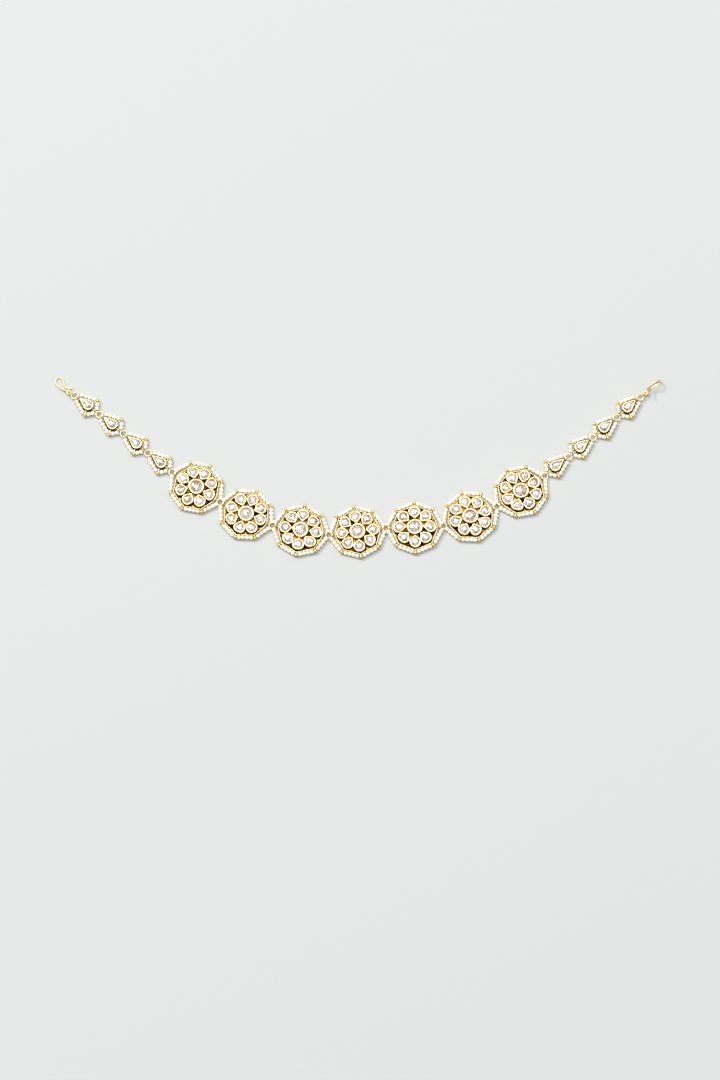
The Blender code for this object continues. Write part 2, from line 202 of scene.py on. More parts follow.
class StringSizes(bpy.types.PropertyGroup):
    """Sizes of seed pearls, gold balls and their thread"""

    pearl: size("Seed pearl", "Radius of a seed pearl", 1.11)
    ball: size("Gold ball", "Radius of a gold ball", 1.0)
    stalk: size("Stalk", "Radius of the stalk under a ball", 0.28)
    lift: size("Lift", "Room under the pearls", 0.21)
    thread: size("Thread", "Radius of the stringing thread", 0.15)
    thread_spread: size("Thread spread", "Half the bare thread under a chain stem", 0.85)
    beside_eye: IntProperty(
        name="Pearls beside an eye", description="On a side that ends at a chain eye", default=4
    )


class WireSizes(bpy.types.PropertyGroup):
    """Sizes of eyes, jump rings and hooks"""

    chain: size("Chain height", "Middle of eyes and jump rings above the table", 1.45)
    wire: size("Wire", "Radius of the wire of the end rings", 0.3)
    eye_wire: size("Eye wire", "Radius of the wire of the chain eyes", 0.36)
    eye: size("Eye", "Mean radius of a chain eye", 0.9)
    stem: size("Stem", "Radius of the stem that carries an eye", 0.26)
    ring: size("Jump ring", "Mean radius of a jump ring", 1.75)
    end_ring: size("End ring", "Mean radius of the upright ring at a hook", 1.5)
    ring_wire: size("Ring wire", "Radius of the jump rings' wire", 0.37)
    ring_cut: size("Ring cut", "Open seam where a jump ring was closed", 0.05)
    snug: size("Snug", "Clearance between wires that share a ring's hole", 0.2)
    hook_wire: size("Hook wire", "Radius of the hooks' wire", 0.42)
    hook_eye: size("Hook eye", "Mean radius of a hook's eye", 1.02)
    hook_length: size("Hook length", "Length of a hook beyond its eye", 9.1)
    hook_width: size("Hook width", "Width that a hook's route is drawn to", 4.3)
    hook_lift: size("Hook lift", "Room under a hook and an upright ring", 0.03)


class Finishes(bpy.types.PropertyGroup):
    """Colours of the finishes"""

    gold: tint("Gold", "Bright gold plating", "#FFEFC9")
    deep_gold: tint("Deep gold", "Gold plating where it lies thicker", "#F8D38B")
    # The next two colours are painted shade: a half shade and a deep shade, painted on walls, in
    # gaps and on the ledges under the stones
    burnt_gold: tint("Shaded gold", "Gold that the polishing missed", "#C4933F")
    painted_shade: tint("Painted shade", "Gold deep in the gaps between bezels", "#301502")
    wire_gold: tint("Wire gold", "Plating of rings and hooks", "#F2CC7C")
    enamel: tint("Enamel", "Green enamel on the outer walls", "#051409")
    silver_foil: tint("Silver foil", "Stone over bright foil", "#F1F0F5")
    # The next two colours are painted reflections on the stones' facets
    dark_facet: tint("Dark facet", "Facet that mirrors the dark", "#17181D")
    warm_facet: tint("Warm facet", "Facet that mirrors the gold round it", "#C9A07A")
    pearl: tint("Pearl", "Light nacre", "#FFF9EA")
    pearl_shade: tint("Warm pearl", "Warmer nacre", "#F8E9CD")
    thread: tint("Thread", "Gilt stringing thread", "#C2A468")
    floor: tint("Floor", "Matt board under the jewel", "#C1C3C2")


class MathaPattiSettings(bpy.types.PropertyGroup):
    """Everything that can be set"""

    medallion: PointerProperty(type=MedallionSizes)
    drop: PointerProperty(type=DropSizes)
    bezel: PointerProperty(type=BezelSizes)
    string: PointerProperty(type=StringSizes)
    wire: PointerProperty(type=WireSizes)
    finish: PointerProperty(type=Finishes)


# Places taken from the frame


def chain_frame(node):
    """Frame of a medallion's or drop's setting, read from its CAD node."""
    points = [vert.co.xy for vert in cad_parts[node].data.vertices]
    middle = sum(points, Vector((0, 0))) / len(points)
    far = max(points, key=lambda point: (point - middle).length)
    along = (far - max(points, key=lambda point: (far - point).length)).normalized()
    if along.x < 0:
        along = -along
    reach = [point.dot(along) for point in points]
    ends = []
    for limit in (min(reach), max(reach)):
        tip = [point for point, run in zip(points, reach) if abs(run - limit) < 0.02 * MM]
        ends.append(sum(tip, Vector((0, 0))) / len(tip))
    if node.startswith("drop") and int(node.split("_")[1]) > DROPS_BEFORE_FLOWERS:
        ends.reverse()
    centre = (ends[0] + ends[1]) / 2
    way = ends[1] - ends[0]
    turn = Matrix.Rotation(math.atan2(way.y, way.x), 4, "Z")
    return Matrix.Translation((centre.x, centre.y, 0)) @ turn


def node_centre(node):
    low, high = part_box(node)
    return (low + high) / 2


# Materials


def add_node(tree, kind, inputs=None, **settings):
    """Adds a node, sets its options and fills its inputs with values or other sockets."""
    node = tree.nodes.new(kind)
    for name, value in settings.items():
        setattr(node, name, value)
    for socket, value in (inputs or {}).items():
        if isinstance(value, bpy.types.NodeSocket):
            tree.links.new(value, node.inputs[socket])
        else:
            node.inputs[socket].default_value = value
    return node


def new_material(name):
    """A material with an empty node tree."""
    material = bpy.data.materials.new(name)
    material.use_nodes = True
    material.node_tree.nodes.clear()
    return material, material.node_tree


def spaced(values):
    """Names of sockets from keywords."""
    return {name.replace("_", " "): value for name, value in values.items()}


def surface(material, **inputs):
    """Gives a material its shader and returns it."""
    tree = material.node_tree
    shader = add_node(tree, "ShaderNodeBsdfPrincipled", spaced(inputs))
    add_node(tree, "ShaderNodeOutputMaterial", {"Surface": shader.outputs["BSDF"]})
    return material


def blend_colours(tree, factor, first, second):
    """Colour socket that goes from one colour to another."""
    first, second = (
        colour if isinstance(colour, bpy.types.NodeSocket) else (*colour, 1)
        for colour in (first, second)
    )
    inputs = {0: factor, 6: first, 7: second}
    return add_node(tree, "ShaderNodeMix", inputs, data_type="RGBA").outputs[2]


def pattern(tree, grain, detail=2.0):
    """Noise over the piece with grains of a real size."""
    place = add_node(tree, "ShaderNodeTexCoord").outputs["Object"]
    inputs = {"Vector": place, "Scale": 1 / grain, "Detail": detail}
    return add_node(tree, "ShaderNodeTexNoise", inputs).outputs["Fac"]


def remap(tree, value, **limits):
    """Value brought from one range to another."""
    node = add_node(tree, "ShaderNodeMapRange", {"Value": value, **spaced(limits)})
    return node.outputs["Result"]


def attribute(tree, name):
    """Value that the piece's mesh carries."""
    return add_node(tree, "ShaderNodeAttribute", attribute_name=name).outputs["Fac"]


def calculate(tree, operation, *values):
    inputs = dict(enumerate(values))
    return add_node(tree, "ShaderNodeMath", inputs, operation=operation).outputs[0]


def bumps(tree, height, strength, distance):
    """Normal of a skin that rises with a pattern."""
    inputs = {"Height": height, "Strength": strength, "Distance": distance}
    return add_node(tree, "ShaderNodeBump", inputs).outputs["Normal"]


def gold_plated_setting(finish):
    """Gold-plated brass, pushed over the stones by hand: bright beads, with painted shade on the
    walls and in the gaps.
    """
    material, tree = new_material("gold_plated_setting")
    gold = blend_colours(tree, pattern(tree, 1.6 * MM), finish.gold, finish.deep_gold)
    # Painted shade in the hollows, broken into patches by noise
    patches = pattern(tree, 2.0 * MM, 1.0)
    left = remap(tree, patches, From_Min=0.42, From_Max=0.58, To_Min=0.5)
    # How much painted shade lies here: the first half mixes towards the half-shade gold, the rest
    # towards the deepest shade
    dark = calculate(tree, "MULTIPLY", attribute(tree, "painted_shade"), left)
    half_shade = remap(tree, dark, From_Max=0.5)
    colour = blend_colours(tree, half_shade, gold, finish.burnt_gold)
    deep = remap(tree, dark, From_Min=0.5)
    colour = blend_colours(tree, deep, colour, finish.painted_shade)
    # Tool marks of about half a millimetre, as deep as they need to be to show
    marks = pattern(tree, 0.55 * MM, 3.0)
    gloss = calculate(tree, "MULTIPLY_ADD", dark, 0.5, remap(tree, marks, **BRUSHED))
    skin = bumps(tree, marks, 0.3, 0.03 * MM)
    return surface(material, Base_Color=colour, Metallic=1.0, Roughness=gloss, Normal=skin)


def gold_plated_wire(finish):
    """Drawn brass wire under pale gold plating, unevenly polished."""
    material, tree = new_material("gold_plated_wire")
    wash = pattern(tree, 0.9 * MM)
    colour = blend_colours(tree, wash, finish.wire_gold, finish.gold)
    gloss = remap(tree, wash, **BRUSHED)
    return surface(material, Base_Color=colour, Metallic=1.0, Roughness=gloss)


def gold_plated_ball(finish):
    """Hollow gold-plated beads, with a slightly dulled skin."""
    material, tree = new_material("gold_plated_ball")
    colour = blend_colours(tree, pattern(tree, 1.1 * MM), finish.deep_gold, finish.wire_gold)
    return surface(material, Base_Color=colour, Metallic=1.0, Roughness=0.25)


def foil_backed_stone(finish):
    """Polished glass over silver foil; each facet's colour is painted light, dark or warm, as the
    reflection it stands for.
    """
    material, tree = new_material("foil_backed_stone")
    warm, tone = attribute(tree, "warm"), attribute(tree, "tone")
    foil = blend_colours(tree, warm, finish.silver_foil, finish.warm_facet)
    return surface(
        material,
        Base_Color=blend_colours(tree, tone, foil, finish.dark_facet),
        Metallic=0.6,
        Roughness=0.1,
        Coat_Weight=0.7,
        Coat_Roughness=0.02,
        Coat_IOR=1.5,
    )


def meena_enamel(finish):
    """Fired glass enamel: glossy dark green, almost black."""
    material, _ = new_material("meena_enamel")
    colour = (*finish.enamel, 1)
    return surface(material, Base_Color=colour, Roughness=0.25, Specular_IOR_Level=0.1)


def seed_pearl_nacre(finish):
    """Nacre of natural seed pearls: creamy, no two alike, with a soft deep lustre."""
    material, tree = new_material("seed_pearl_nacre")
    tone = attribute(tree, "tone")
    return surface(
        material,
        Base_Color=blend_colours(tree, tone, finish.pearl, finish.pearl_shade),
        Roughness=0.32,
        IOR=1.6,
        Subsurface_Weight=1.0,
        Subsurface_Radius=(1.0, 0.8, 0.6),
        Subsurface_Scale=1.0 * MM,
        Coat_Weight=0.3,
        Coat_Roughness=0.15,
        Normal=bumps(tree, pattern(tree, 0.7 * MM, 3.0), 0.2, 0.05 * MM),
    )


def gilt_thread(finish):
    """Twisted thread with a gilt sheen, mottled as its strands are."""
    material, tree = new_material("gilt_thread")
    colour = blend_colours(tree, pattern(tree, 0.12 * MM), finish.thread, finish.deep_gold)
    return surface(material, Base_Color=colour, Roughness=0.6, Metallic=0.3)


def matt_board(finish):
    """Matt board: pale, slightly cool, with a fine tooth."""
    material, tree = new_material("matt_board")
    tooth = bumps(tree, pattern(tree, 0.8 * MM, 4.0), 0.05, 0.1 * MM)
    return surface(material, Base_Color=(*finish.floor, 1), Roughness=0.75, Normal=tooth)


def finish_material(maker):
    """The material that a maker gives, made once."""
    return bpy.data.materials.get(maker.__name__) or maker(bpy.context.scene.matha_patti.finish)


# Shapes


def pear(wide, tip, spread, count):
    """Evenly spaced points round two ends: the wide one on the origin, the tip towards -X."""
    lean = math.acos(-(wide - tip) / spread)
    arc = wide * lean
    side = math.sqrt(spread**2 - (wide - tip) ** 2)
    half = arc + side + tip * (math.pi - lean)
    points = []
    for step in range(count):
        run = 2 * half * step / count
        hand = 1 if run <= half else -1
        run = min(run, 2 * half - run)
        middle, radius, angle = 0.0, wide, run / wide
        if run > arc:
            share = min((run - arc) / side, 1)
            middle, radius, angle = -spread * share, wide + (tip - wide) * share, lean
        if run > arc + side:
            angle = lean + (run - arc - side) / tip
        points.append((middle + radius * math.cos(angle), hand * radius * math.sin(angle)))
    return points


def circle(radius, count):
    return [
        (radius * math.cos(TAU * step / count), radius * math.sin(TAU * step / count))
        for step in range(count)
    ]


def hand_waves(rng, strength):
    """Unevenness of a bezel bent by hand: waves in its distance from the middle."""
    return (
        (2, strength * rng.uniform(0.0, 0.7), rng.uniform(0, TAU)),
        (3, strength * rng.uniform(0.3, 1.4), math.pi + rng.uniform(-0.7, 0.7)),
        (4, strength * rng.uniform(0.0, 0.5), rng.uniform(0, TAU)),
        (5, strength * rng.uniform(0.0, 0.3), rng.uniform(0, TAU)),
    )


def uneven(points, middle, waves):
    """The points moved in or out from the middle by the waves."""
    moved = []
    for x, y in points:
        angle = math.atan2(y, x - middle)
        grow = 1 + sum(depth * math.cos(count * angle + shift) for count, depth, shift in waves)
        moved.append((middle + (x - middle) * grow, y * grow))
    return moved


def first_loop(bm, points, height):
    """Closed loop of edges through the points."""
    loop = bmesh.ops.create_circle(bm, segments=len(points), radius=1)["verts"]
    for vert, (x, y) in zip(loop, points):
        vert.co = (x, y, height)
    return loop


def loop_edges(bm, loop):
    return [bm.edges.get((one, two)) for one, two in zip(loop, loop[1:] + loop[:1])]


def next_loop(bm, loop, points, height):
    """Extrudes a loop to new points and returns the new loop."""
    made = bmesh.ops.extrude_edge_only(bm, edges=loop_edges(bm, loop))["geom"]
    fresh = {part for part in made if isinstance(part, bmesh.types.BMVert)}
    after = [
        next(edge.other_vert(vert) for edge in vert.link_edges if edge.other_vert(vert) in fresh)
        for vert in loop
    ]
    for vert, (x, y) in zip(after, points):
        vert.co = (x, y, height)
    return after


def close_loop(bm, loop):
    bmesh.ops.edgeloop_fill(bm, edges=loop_edges(bm, loop))


def stack_loops(bm, outline, rows, layer=None, capped=True):
    """Walls up through rows of growth, height and layer value; gives the end loops."""
    start = loop = None
    for grow, height, *value in rows:
        if start is None:
            start = loop = first_loop(bm, outline(grow), height)
            if capped:
                close_loop(bm, loop)
        else:
            loop = next_loop(bm, loop, outline(grow), height)
        if layer is not None:
            for vert in loop:
                vert[layer] = value[0]
    if capped:
        close_loop(bm, loop)
    return start, loop


def bezel(bm, outline, foot, top, bead, flare, painted_shade):
    """Closed bezel: flared wall, rounded bead and the ledge that its stone sits on."""
    rise = top - foot
    # The third value in each row is painted shade: full at the wall's foot and fading up the wall
    rows = (
        (flare, foot, 1.0),
        (flare * 0.85, foot + rise * 0.25, 0.9),
        (flare * 0.6, foot + rise * 0.5, 0.35),
        (flare * 0.15, top - bead * 0.8, 0.15),
        *((-inward * bead, top + up * bead, dark) for inward, up, dark in BEAD_SECTION),
    )
    stack_loops(bm, outline, rows, painted_shade)


def base_plate(bm, outline, top, reach):
    """Closed flat plate under a bezel, with a softened edge."""
    inner = reach - SOFT_EDGE
    rows = ((inner, 0.0), (reach, SOFT_EDGE), (reach, top - SOFT_EDGE), (inner, top))
    stack_loops(bm, outline, rows)


def wall_band(bm, outline, foot, top, flare, spread, skin, inner=0.0):
    """Closed band of enamel round a bezel's outer wall, running out over the plate below.

    It sinks into the wall where it is nearer to the medallion's centre than inner.
    """

    def ring(grow):
        ring_points = []
        for point, deep in zip(outline(grow), outline(grow * 0.3 - BAND_DEPTH - skin)):
            share = min(max((inner - Vector(point).length) / BAND_FADE, 0), 1)
            ring_points.append(Vector(point).lerp(Vector(deep), share))
        return ring_points

    rows = (
        (flare * 0.5, foot),
        (flare + spread, foot),
        (flare + spread, foot + SOFT_EDGE),
        (flare * 0.9 + skin, foot + 2.5 * SOFT_EDGE),
        (flare * 0.65 + skin, top - SOFT_EDGE),
        (flare * 0.6 + skin * 0.6, top),
        (0.0, top),
    )
    ends = stack_loops(bm, ring, rows, capped=False)
    bmesh.ops.bridge_loops(bm, edges=[edge for loop in ends for edge in loop_edges(bm, loop)])


def add_stones(name, rng, rims, cut, height, bead, crown, slot, node, place):
    """Stones of one kind, each set in a rim of the given height and bead."""
    bm = bmesh.new()
    for layer in ("tone", "warm"):
        bm.faces.layers.float.new(layer)
    points, facets = STONE_CUTS[cut]
    for rim in rims:
        outline = rim(-bead * STONE_INSET, points)
        facet_stone(bm, rng, outline, height - bead * STONE_GIRDLE, height + crown, facets)
    add_piece(name, bm, foil_backed_stone, node, place)


def facet_stone(bm, rng, outline, girdle, table, facets):
    """Cut stone as the hull of its girdle, crown and table, with two painted reflection values for
    each facet: how dark and how warm.
    """
    tone, warm = (bm.faces.layers.float[name] for name in ("tone", "warm"))
    base = [Vector((x, y, 0)) for x, y in outline]
    middle = sum(base, Vector()) / len(base)
    rise = table - girdle
    count = len(base)
    step = count // facets
    rings = (
        # share of the outline, height, points in it and their shift along the outline
        (1.0, girdle - 0.3 * MM, step // 2 or 1, 0),
        (1.0, girdle, step // 2 or 1, 0),
        (0.78, girdle + rise * 0.62, step, step // 2),
        (0.48, girdle + rise * 0.93, step, 0),
    )
    points = []
    for share, height, stride, shift in rings:
        slack = 0.0 if share == 1.0 else 1.0
        for index in range(shift, count + shift, stride):
            waver = slack * rng.uniform(-CUT_WAVER, CUT_WAVER)
            spot = middle + (base[index % count] - middle) * (share + waver)
            points.append((*spot.xy, height + slack * rise * rng.uniform(CUT_DIP, CUT_RISE)))
    lean = Vector((rng.uniform(-0.4, 0.4), rng.uniform(-0.4, 0.4), 0)) * MM
    peak = Vector((middle.x + lean.x, middle.y + lean.y, table))
    points.append(peak)
    hull = bmesh.ops.convex_hull(bm, input=[bm.verts.new(point) for point in points])
    spare = [part for part in hull["geom_interior"] if isinstance(part, bmesh.types.BMVert)]
    bmesh.ops.delete(bm, geom=spare, context="VERTS")
    faces = [f for f in hull["geom"] if isinstance(f, bmesh.types.BMFace) and f.is_valid]
    inner = [f for f in faces if min((v.co - peak).length for v in f.verts) < MERGE]
    # Painted reflections: most facets light, some dark, and a share of them warm as if mirroring
    # gold
    share = rng.choice((0.1, 0.2, 0.6))
    for face in faces:
        face[tone] = rng.uniform(0.05, 0.22) if rng.random() < 0.75 else rng.uniform(0.4, 0.8)
        face[warm] = rng.uniform(0.5, 1.0) if rng.random() < share else rng.uniform(0.0, 0.2)
    # Two facets round the peak get a painted dark reflection
    inner.sort(key=lambda f: math.atan2(*(f.calc_center_median() - peak).yx))
    start = rng.randrange(len(inner)) if inner else 0
    for index, face in enumerate(inner):
        turn = (index - start) % len(inner)
        face[tone] = rng.uniform(0.85, 1.0) if turn in (0, 3) else rng.uniform(0.0, 0.15)


def add_round(bm, place, along, radius, sides, shape=(1, 1, 1), full=2.0):
    """Bead of a given shape, its poles along the string: a ball, or fuller towards a drum."""
    turn = Vector((*along, 0)).to_track_quat("Z", "Y").to_matrix().to_4x4()
    matrix = Matrix.Translation(place) @ turn @ Matrix.Diagonal((*shape, 1))
    rings = sides // 2 + 2
    verts = bmesh.ops.create_uvsphere(bm, u_segments=sides, v_segments=rings, radius=1)["verts"]
    for vert in verts:
        reach = (vert.co.xy.length**full + abs(vert.co.z) ** full) ** (1 / full)
        vert.co *= radius / reach
    bmesh.ops.transform(bm, matrix=matrix, verts=verts)
    return verts


def add_torus(bm, matrix, mean, wire, cut=0.0, steps=40, sides=12):
    """Round wire bent to a circle about the matrix's Z axis, closed or with an open seam."""
    section = Matrix.Translation((mean, 0, 0)) @ UPRIGHT
    loop = bmesh.ops.create_circle(bm, segments=sides, radius=wire, matrix=section)["verts"]
    geom, axis, angle = loop + loop_edges(bm, loop), (0, 0, 1), TAU - cut / mean
    made = bmesh.ops.spin(bm, geom=geom, axis=axis, angle=angle, steps=steps, use_merge=not cut)
    if cut:
        close_loop(bm, loop)
        ends = [part for part in made["geom_last"] if isinstance(part, bmesh.types.BMEdge)]
        bmesh.ops.edgeloop_fill(bm, edges=ends)
    verts, more = set(), set(loop)
    while more:
        verts |= more
        more = {edge.other_vert(vert) for vert in more for edge in vert.link_edges} - verts
    bmesh.ops.transform(bm, matrix=matrix, verts=list(verts))


def add_wire(bm, points, radii, smooth, closed=False, sides=3):
    """Round wire through points, straight from one to the next or smoothly bent."""
    curve = bpy.data.curves.new("wire", "CURVE")
    curve.dimensions = "3D"
    curve.bevel_depth = 1
    curve.bevel_resolution = sides
    curve.resolution_u = 6
    curve.use_fill_caps = True
    spline = curve.splines.new("BEZIER" if smooth else "POLY")
    spots = spline.bezier_points if smooth else spline.points
    spots.add(len(points) - 1)
    for spot, point, radius in zip(spots, points, radii):
        spot.radius = radius
        if smooth:
            spot.co = point
            spot.handle_left_type = spot.handle_right_type = "AUTO"
        else:
            spot.co = (*point, 1)
    spline.use_cyclic_u = closed
    guide = new_object("wire", curve)
    seen = guide.evaluated_get(bpy.context.evaluated_depsgraph_get())
    mesh = bpy.data.meshes.new_from_object(seen)
    bm.from_mesh(mesh)
    bpy.data.objects.remove(guide)
    bpy.data.curves.remove(curve)
    bpy.data.meshes.remove(mesh)
    bmesh.ops.remove_doubles(bm, verts=bm.verts, dist=MERGE)


def add_eye(bm, along, height, turn, wire):
    """Chain eye standing upright in line with the chain."""
    place = Matrix.Rotation(turn, 4, "Z") @ Matrix.Translation((along, 0, height)) @ UPRIGHT
    add_torus(bm, place, wire.eye, wire.eye_wire, steps=28, sides=10)


def new_object(name, data):
    """Object in the scene for a mesh, curve, light or camera."""
    made = bpy.data.objects.new(name, data)
    bpy.context.scene.collection.objects.link(made)
    return made


def mesh_object(name, bm, maker):
    """Object at the origin from a bmesh, in its finish."""
    mesh = bpy.data.meshes.new(name)
    bm.to_mesh(mesh)
    bm.free()
    mesh.materials.append(finish_material(maker))
    return new_object(name, mesh)


def add_piece(name, bm, maker, node, matrix=None):
    """Turns a bmesh into a finished piece that stands for a CAD node."""
    if matrix is not None:
        bm.transform(matrix)
    bmesh.ops.recalc_face_normals(bm, faces=bm.faces)
    piece = mesh_object(name, bm, maker)
    if maker is not foil_backed_stone:
        piece.data.shade_smooth()
        piece.data.set_sharp_from_angle(angle=SHARP)
    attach(piece, "root")
    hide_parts(node)


# Medallions


def petal_outline(sizes, waves, turn):
    """Function from growth to the outline of one petal, in the medallion's frame."""
    spread = sizes.petal_length - sizes.petal_wide - sizes.petal_tip
    middle = -spread / 2
    place = Matrix.Rotation(turn, 4, "Z") @ Matrix.Translation(
        (sizes.petal_reach - sizes.petal_wide, 0, 0)
    )
    limit = sizes.back_radius - 0.1 * MM

    def outline(grow, count=PETAL_POINTS):
        tip = max(sizes.petal_tip + grow, OPEN_TIP)
        points = uneven(pear(sizes.petal_wide + grow, tip, spread, count), middle, waves)
        placed = [(place @ Vector((x, y, 0))).xy for x, y in points]
        return [point * min(limit / point.length, 1) for point in placed]

    return outline


def petal_outlines(number, sizes):
    """The hand-bent outlines of one medallion's petals."""
    rng = random.Random(f"petals of medallion {number}")
    outlines = []
    for index in range(sizes.petals):
        waves = hand_waves(rng, 0.05)
        turn = TAU * index / sizes.petals + math.radians(rng.uniform(-1, 1))
        outlines.append(petal_outline(sizes, waves, turn))
    return outlines


def centre_outline(number, sizes):
    waves = hand_waves(random.Random(f"centre of medallion {number}"), 0.02)

    def outline(grow, count=ROUND_POINTS):
        return uneven(circle(sizes.centre_radius + grow, count), 0, waves)

    return outline


def plate_outline(radius, sizes):
    """Circle that swells into corners at the balls, and less at the chain eyes."""
    half = math.pi / sizes.petals
    points = []
    for x, y in circle(radius, PLATE_POINTS):
        turn = math.atan2(y, x)
        beside = turn % (2 * half) - half
        share = EYE_SHARE + (1 - EYE_SHARE) * math.sqrt(abs(math.sin(turn)))
        grow = 1 + (1 / math.cos(beside) - 1) * share
        points.append((x * grow, y * grow))
    return points


def back_plate(bm, sizes, painted_shade):
    """Back plate: plain below, with a gold lip round its face, which carries painted shade."""
    edge, lean = 0.15 * MM, 0.05 * MM
    outer = sizes.back_radius
    inner = outer - sizes.lip
    face = sizes.back_thickness
    top = face + sizes.lip_height
    # The third value in each row is painted shade: light on the lip's top and full on the face
    # between the bezels
    rows = (
        (outer - edge, 0.0, 0.0),
        (outer, edge, 0.0),
        (outer, top - edge, 0.0),
        (outer - edge, top, 0.1),
        (inner + edge, top, 0.25),
        (inner, top - edge, 0.6),
        (inner - lean, face, 1.0),
        (sizes.centre_radius - sizes.lip, face, 1.0),
    )
    stack_loops(bm, lambda reach: plate_outline(reach, sizes), rows, painted_shade)


def medallion_setting(number, medallion, sizes, string, wire):
    """Back plate, bezels, stalks and chain eyes, soldered together."""
    bm = bmesh.new()
    painted_shade = bm.verts.layers.float.new("painted_shade")
    back_plate(bm, medallion, painted_shade)
    foot = medallion.back_thickness - sizes.sink
    for outline in petal_outlines(number, medallion):
        bezel(bm, outline, foot, medallion.petal_height, sizes.bead, sizes.flare, painted_shade)
    outline = centre_outline(number, medallion)
    top, bead = medallion.centre_height, medallion.centre_bead
    bezel(bm, outline, foot, top, bead, sizes.flare, painted_shade)
    wall = medallion.petal_reach - sizes.bead
    chain = wire.chain
    for index in range(medallion.petals):
        turn = TAU * index / medallion.petals
        out = Vector((math.cos(turn), math.sin(turn), 0))
        if index % (medallion.petals // 2):
            height = Vector((0, 0, string.pearl + string.lift))
            ends = (wall, medallion.corner - string.ball * 0.8)
            radius = string.stalk
        else:
            height = Vector((0, 0, chain))
            ends = (wall, medallion.eye_reach - wire.eye)
            radius = wire.stem
            add_eye(bm, medallion.eye_reach, chain, turn, wire)
        add_wire(bm, [out * end + height for end in ends], [radius] * 2, smooth=False)
    return bm


def enamel_collars(bm, medallion, sizes, string):
    """Dark collar in the enamel finish round the root of each ball's stalk: painted shade where the
    stalk leaves the rim.
    """
    height = string.pearl + string.lift
    ends = (medallion.petal_reach - sizes.bead, medallion.petal_reach + sizes.collar_reach)
    for index in range(medallion.petals):
        if index % (medallion.petals // 2):
            turn = TAU * index / medallion.petals
            points = [(end * math.cos(turn), end * math.sin(turn), height) for end in ends]
            add_wire(bm, points, (sizes.collar, sizes.collar * 0.7), smooth=False)


class MATHAPATTI_OT_medallions(bpy.types.Operator):
    """Make the medallions' settings, enamel and stones"""

    bl_idname = "matha_patti.medallions"
    bl_label = "Medallions"

    def execute(self, context):
        settings = context.scene.matha_patti
        medallion, sizes = settings.medallion, settings.bezel
        for number in range(1, FLOWERS + 1):
            name = f"flower_{number}"
            node = f"{name}_setting"
            place = chain_frame(node)
            bm = medallion_setting(number, medallion, sizes, settings.string, settings.wire)
            add_piece(f"{name}_gold", bm, gold_plated_setting, node, place)

            bm = bmesh.new()
            outlines = petal_outlines(number, medallion)
            top = medallion.petal_height - sizes.enamel_drop
            inner = medallion.petal_reach - medallion.petal_wide
            for index, outline in enumerate(outlines):
                # Bands that meet lie a hair above and below each other
                foot = medallion.back_thickness - (0.02 + 0.03 * (index % 2)) * MM
                spread, skin = sizes.enamel_foot, sizes.enamel
                wall_band(bm, outline, foot, top, sizes.flare, spread, skin, inner)
            enamel_collars(bm, medallion, sizes, settings.string)
            add_piece(f"{name}_enamel", bm, meena_enamel, node, place)

            rng = random.Random(f"stones of medallion {number}")
            look = (medallion.petal_height, sizes.bead, sizes.crown, "petal_stone")
            add_stones(f"{name}_petal_stones", rng, outlines, "petal", *look, node, place)
            rims = [centre_outline(number, medallion)]
            look = (medallion.centre_height, medallion.centre_bead, medallion.centre_crown)
            stone = ("centre_stone", f"{name}_stone", place)
            add_stones(f"{name}_centre_stone", rng, rims, "centre", *look, *stone)
        return {"FINISHED"}


# Drops


def drop_outline(number, sizes):
    spread = sizes.length - sizes.wide - sizes.tip
    along = sizes.start + sizes.length - sizes.wide - sizes.span / 2
    waves = hand_waves(random.Random(f"drop {number}"), 0.012)

    def outline(grow, count=ROUND_POINTS):
        tip = max(sizes.tip + grow, OPEN_TIP)
        points = uneven(pear(sizes.wide + grow, tip, spread, count), 0, waves)
        return [(along + x, y) for x, y in points]

    return outline


def drop_setting(outline, drop, sizes, string, wire):
    """Teardrop bezel with its two eyes on stems and a stalk for each side ball."""
    bm = bmesh.new()
    painted_shade = bm.verts.layers.float.new("painted_shade")
    bezel(bm, outline, 0.0, drop.height, sizes.bead, drop.flare, painted_shade)
    base_plate(bm, outline, drop.base, drop.base_reach)
    chain = wire.chain
    half = drop.span / 2
    rim = (drop.start - half, drop.start + drop.length - half)
    for side, edge in ((-1, rim[0] + 2 * sizes.bead), (1, rim[1] - sizes.bead)):
        add_eye(bm, half, chain, 0 if side > 0 else math.pi, wire)
        ends = ((edge, 0, chain), (side * (half - wire.eye), 0, chain))
        add_wire(bm, ends, [wire.stem] * 2, smooth=False)
    height = string.pearl + string.lift
    root = Vector((rim[1] - drop.wide, 0, height))
    for side in (1, -1):
        ball = Vector((drop.ball_along - half, side * drop.ball_across, height))
        way = (ball - root).normalized()
        ends = (root + way * (drop.wide - sizes.bead), ball - way * string.ball * 0.8)
        add_wire(bm, ends, [string.stalk] * 2, smooth=False)
    return bm


class MATHAPATTI_OT_drops(bpy.types.Operator):
    """Make the drops' settings, enamel and stones"""

    bl_idname = "matha_patti.drops"
    bl_label = "Drops"

    def execute(self, context):
        settings = context.scene.matha_patti
        drop, sizes = settings.drop, settings.bezel
        for number in range(1, DROPS + 1):
            name = f"drop_{number}"
            node = f"{name}_setting"
            place = chain_frame(node)
            outline = drop_outline(number, drop)
            bm = drop_setting(outline, drop, sizes, settings.string, settings.wire)
            add_piece(f"{name}_gold", bm, gold_plated_setting, node, place)

            bm = bmesh.new()
            top = drop.height - sizes.bead
            foot = drop.base - ENAMEL_OVERLAP
            spread = drop.base_reach - drop.flare - ENAMEL_SETBACK
            wall_band(bm, outline, foot, top, drop.flare, spread, sizes.enamel)
            add_piece(f"{name}_enamel", bm, meena_enamel, node, place)

            rng = random.Random(f"stone of drop {number}")
            look = (drop.height, sizes.bead, sizes.crown, "petal_stone")
            add_stones(f"{name}_stone", rng, [outline], "drop", *look, node, place)
        return {"FINISHED"}


# Strings of seed pearls


